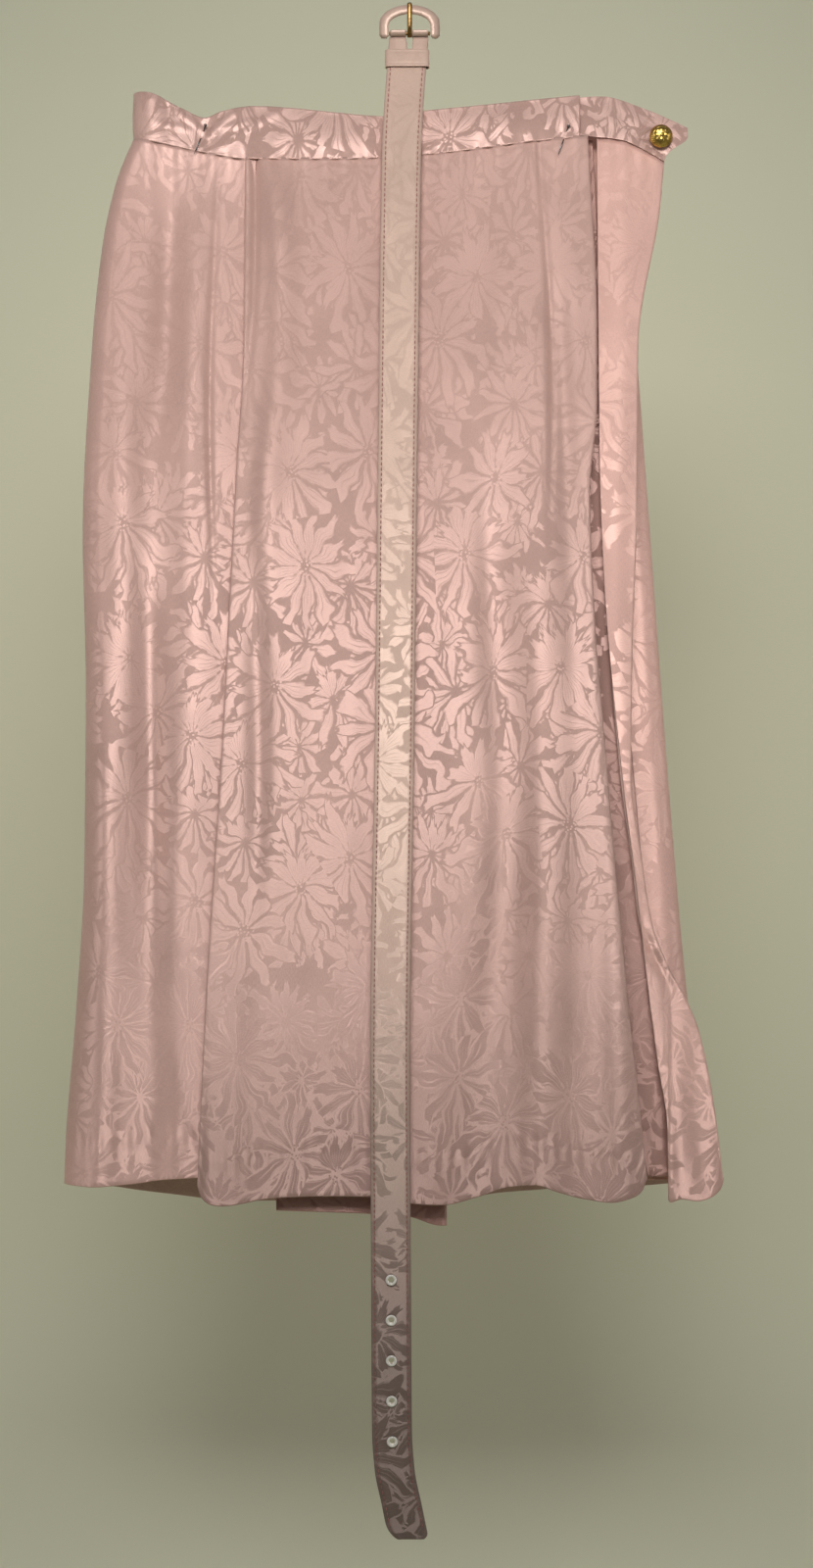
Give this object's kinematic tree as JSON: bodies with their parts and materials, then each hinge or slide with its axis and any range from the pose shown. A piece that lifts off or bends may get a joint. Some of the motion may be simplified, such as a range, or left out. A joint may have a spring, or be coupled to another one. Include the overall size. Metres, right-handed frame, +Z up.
{
  "type": "wrap skirt with belt",
  "caption": "Knee-length wrap skirt in satin jacquard hung flat by its waistband, with a domed metal button and its own fabric-covered belt hanging in front.",
  "frame": {"origin": "hang line: the middle of the skirt at the height of the waistband's top edge, between the front and the back band", "axes": "+Z up along the hanging skirt, +X towards the loose wrap end, the front of the skirt faces -Y"},
  "size_m": [0.427, 0.0714, 0.9797],
  "materials": {
    "satin_jacquard": "pale pink satin jacquard with large tone-on-tone flowers",
    "belt_satin": "the same satin jacquard over a firm belt, edge-stitched",
    "interlining": "woven stiffening, unbleached",
    "button_gold": null,
    "buckle_brass": "dulled brass",
    "eyelet_silver": "bright pressed metal",
    "pin_steel": "plain steel",
    "button_resin": "pearly resin"
  },
  "bodies": {
    "skirt": {"waistband_outer": "satin_jacquard", "waistband_interfacing": "interlining", "waistband_facing": "satin_jacquard", "under_wrap_band": "satin_jacquard", "front_panel": "satin_jacquard", "left_side_panel": "satin_jacquard", "pleat_underlay": "satin_jacquard", "right_side_panel": "satin_jacquard", "back_panel_left": "satin_jacquard", "back_panel_right": "satin_jacquard", "under_wrap_panel": "satin_jacquard", "under_wrap_edge_facing": "satin_jacquard", "inner_button": "button_resin", "dress_pin_left": "pin_steel", "dress_pin_right": "pin_steel"},
    "wrap_end": {"tab_outer": "satin_jacquard", "tab_interfacing": "interlining", "tab_facing": "satin_jacquard", "end_panel": "satin_jacquard", "end_panel_edge_facing": "satin_jacquard", "backing_button": "button_resin"},
    "gold_button": {"gold_button_dome": "button_gold", "gold_button_shank": "button_gold"},
    "buckle": {"buckle_cover": "belt_satin", "buckle_core": "pin_steel", "buckle_back_plate": "pin_steel", "buckle_bar": "buckle_brass"},
    "prong": {"buckle_prong": "buckle_brass"},
    "belt_strap": {"belt_face": "belt_satin", "belt_stiffener": "interlining", "belt_lining": "belt_satin", "belt_turnback": "belt_satin", "eyelet_1": "eyelet_silver", "eyelet_2": "eyelet_silver", "eyelet_3": "eyelet_silver", "eyelet_4": "eyelet_silver", "eyelet_5": "eyelet_silver", "eyelet_washer_1": "eyelet_silver", "eyelet_washer_2": "eyelet_silver", "eyelet_washer_3": "eyelet_silver", "eyelet_washer_4": "eyelet_silver", "eyelet_washer_5": "eyelet_silver"},
    "keeper": {"belt_keeper": "belt_satin"}
  },
  "joints": [
    {"name": "wrap_end_open", "type": "hinge", "parent": "skirt", "child": "wrap_end", "pos_m": [0.125, -0.009, 0], "axis": [0, 0, -1], "range_deg": [0, 50]},
    {"name": "button_turn", "type": "hinge", "parent": "wrap_end", "child": "gold_button", "pos_m": [0.1646, -0.0121, -0.0113], "axis": [0, 1, 0], "range_deg": [-40, 40]},
    {"name": "belt_swing", "type": "hinge", "parent": "skirt", "child": "buckle", "pos_m": [0.002, -0.017, 0.066], "axis": [-1, 0, 0], "range_deg": [0, 30]},
    {"name": "prong_turn", "type": "hinge", "parent": "buckle", "child": "prong", "pos_m": [0.002, -0.01736, 0.05321], "axis": [1, 0, 0], "range_deg": [0, 80]},
    {"name": "strap_fold", "type": "hinge", "parent": "buckle", "child": "belt_strap", "pos_m": [0.002, -0.01736, 0.05321], "axis": [-1, 0, 0], "range_deg": [0, 30]},
    {"name": "keeper_slide", "type": "slide", "parent": "belt_strap", "child": "keeper", "axis": [-0.0629, -0.0279, -0.9976], "range_m": [0, 0.02]}
  ]
}
